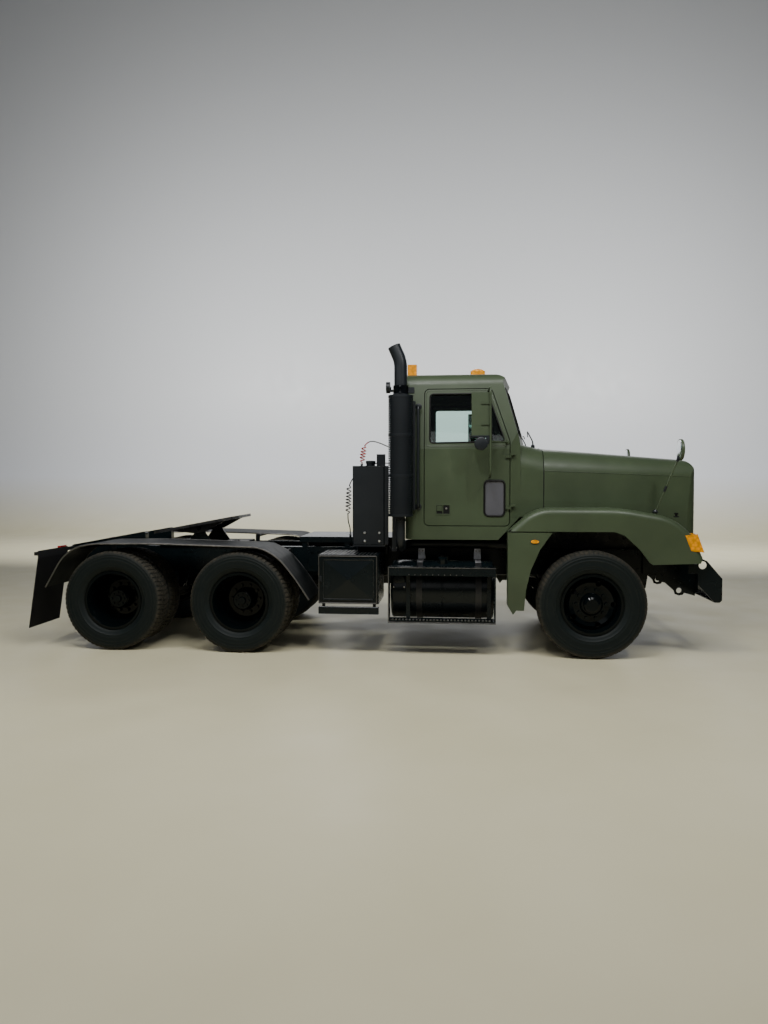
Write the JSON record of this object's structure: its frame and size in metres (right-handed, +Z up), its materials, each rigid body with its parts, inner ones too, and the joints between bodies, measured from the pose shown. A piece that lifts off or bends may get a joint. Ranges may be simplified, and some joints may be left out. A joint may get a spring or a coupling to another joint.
{
  "type": "truck tractor unit",
  "caption": "Three-axle conventional truck tractor with day cab, tilting hood, side steps, stack exhaust and fifth wheel.",
  "frame": {"origin": "on the ground under the middle of the bounding box", "axes": "+X forward, +Y to the vehicle's left, +Z up"},
  "size_m": [6.94, 2.518, 3.0799],
  "materials": {
    "green_paint": "matt",
    "black_paint": "semi-gloss",
    "gloss_black": "gloss",
    "cast_iron": "greasy",
    "aluminium": "satin",
    "tyre": "matt, dusty",
    "black_rubber": "matt",
    "glass": "clear, faintly green",
    "amber_lens": "gloss",
    "dark_plastic": "matt",
    "seat_cover": "woven",
    "red_hose": "gloss",
    "black_hose": "gloss"
  },
  "bodies": {
    "chassis": {"air_springs": "black_rubber", "cab_body": "green_paint", "cab_glass": "glass", "cab_rear_wall": "green_paint", "cab_roof": "green_paint", "crossmembers": "black_paint", "dashboard": "dark_plastic", "deck_plate": "black_paint", "drive_axles": "black_paint", "driveline": "black_paint", "engine_block": "cast_iron", "exhaust": "black_paint", "fifth_wheel_base": "black_paint", "frame_rail_left": "black_paint", "frame_rail_right": "black_paint", "frame_ramps": "black_paint", "front_axle": "black_paint", "front_brackets": "black_paint", "front_bumper": "black_paint", "fuel_tanks": "black_paint", "hydraulic_tank": "black_paint", "lamps": "amber_lens", "mudflaps": "black_rubber", "muffler_guard": "black_paint", "quarter_panels": "green_paint", "radiator": "black_paint", "seats": "seat_cover", "side_boxes": "black_paint", "stack_mast": "black_paint", "tandem_fenders": "black_paint", "tank_straps": "aluminium", "air_line_black": "black_hose", "air_line_red": "red_hose"},
    "knuckle_left": {"steering_knuckle_left": "cast_iron"},
    "knuckle_right": {"steering_knuckle_right": "cast_iron"},
    "tie_rod": {"tie_rod": "black_paint"},
    "wheel_front_left": {"front_wheel_left": "gloss_black", "front_tyre_left": "tyre"},
    "wheel_middle_left": {"middle_wheel_left": "gloss_black", "middle_tyres_left": "tyre"},
    "wheel_rear_left": {"rear_wheel_left": "gloss_black", "rear_tyres_left": "tyre"},
    "door_left": {"door_left": "green_paint", "door_glass_left": "glass"},
    "wheel_front_right": {"front_wheel_right": "gloss_black", "front_tyre_right": "tyre"},
    "wheel_middle_right": {"middle_wheel_right": "gloss_black", "middle_tyres_right": "tyre"},
    "wheel_rear_right": {"rear_wheel_right": "gloss_black", "rear_tyres_right": "tyre"},
    "door_right": {"door_right": "green_paint", "door_glass_right": "glass"},
    "hood": {"hood": "green_paint", "grille": "black_paint", "front_lamps": "amber_lens", "hood_mirrors": "black_paint"},
    "fifth_wheel": {"fifth_wheel_plate": "cast_iron"},
    "toolbox_door": {"toolbox_door": "black_paint"}
  },
  "joints": [
    {"name": "steer_left", "type": "hinge", "parent": "chassis", "child": "knuckle_left", "pos_m": [2.23, 0.86, 0.522], "axis": [0, 0, 1], "range_deg": [-32, 32]},
    {"name": "steer_right", "type": "hinge", "parent": "chassis", "child": "knuckle_right", "pos_m": [2.23, -0.86, 0.522], "axis": [0, 0, 1], "range_deg": [-32, 32]},
    {"name": "tie_rod_pivot", "type": "hinge", "parent": "knuckle_left", "child": "tie_rod", "pos_m": [2.04, 0.86, 0.415], "axis": [0, 0, 1], "range_deg": [-32, 32]},
    {"name": "front_wheel_left_spin", "type": "hinge", "parent": "knuckle_left", "child": "wheel_front_left", "pos_m": [2.23, 1.04, 0.527], "axis": [0, 1, 0], "continuous": true},
    {"name": "middle_wheel_left_spin", "type": "hinge", "parent": "chassis", "child": "wheel_middle_left", "pos_m": [-1.26, 0.913, 0.51], "axis": [0, 1, 0], "continuous": true},
    {"name": "rear_wheel_left_spin", "type": "hinge", "parent": "chassis", "child": "wheel_rear_left", "pos_m": [-2.58, 0.913, 0.51], "axis": [0, 1, 0], "continuous": true},
    {"name": "door_left_hinge", "type": "hinge", "parent": "chassis", "child": "door_left", "pos_m": [1.447, 1.018, 1.75], "axis": [0, 0, -1], "range_deg": [0, 70]},
    {"name": "front_wheel_right_spin", "type": "hinge", "parent": "knuckle_right", "child": "wheel_front_right", "pos_m": [2.23, -1.04, 0.527], "axis": [0, 1, 0], "continuous": true},
    {"name": "middle_wheel_right_spin", "type": "hinge", "parent": "chassis", "child": "wheel_middle_right", "pos_m": [-1.26, -0.913, 0.51], "axis": [0, 1, 0], "continuous": true},
    {"name": "rear_wheel_right_spin", "type": "hinge", "parent": "chassis", "child": "wheel_rear_right", "pos_m": [-2.58, -0.913, 0.51], "axis": [0, 1, 0], "continuous": true},
    {"name": "door_right_hinge", "type": "hinge", "parent": "chassis", "child": "door_right", "pos_m": [1.447, -1.018, 1.75], "axis": [0, 0, 1], "range_deg": [0, 70]},
    {"name": "hood_tilt", "type": "hinge", "parent": "chassis", "child": "hood", "pos_m": [3.35, 0, 0.925], "axis": [0, 1, 0], "range_deg": [0, 60]},
    {"name": "fifth_wheel_tilt", "type": "hinge", "parent": "chassis", "child": "fifth_wheel", "pos_m": [-1.95, 0, 1.2], "axis": [0, 1, 0], "range_deg": [0, 22]},
    {"name": "toolbox_door_hinge", "type": "hinge", "parent": "chassis", "child": "toolbox_door", "pos_m": [0.149, -1.201, 0.75], "axis": [0, 0, 1], "range_deg": [0, 110]}
  ],
  "couplings": [
    {"joint": "steer_right", "follows": "steer_left", "ratio": 1},
    {"joint": "tie_rod_pivot", "follows": "steer_left", "ratio": -1}
  ]
}
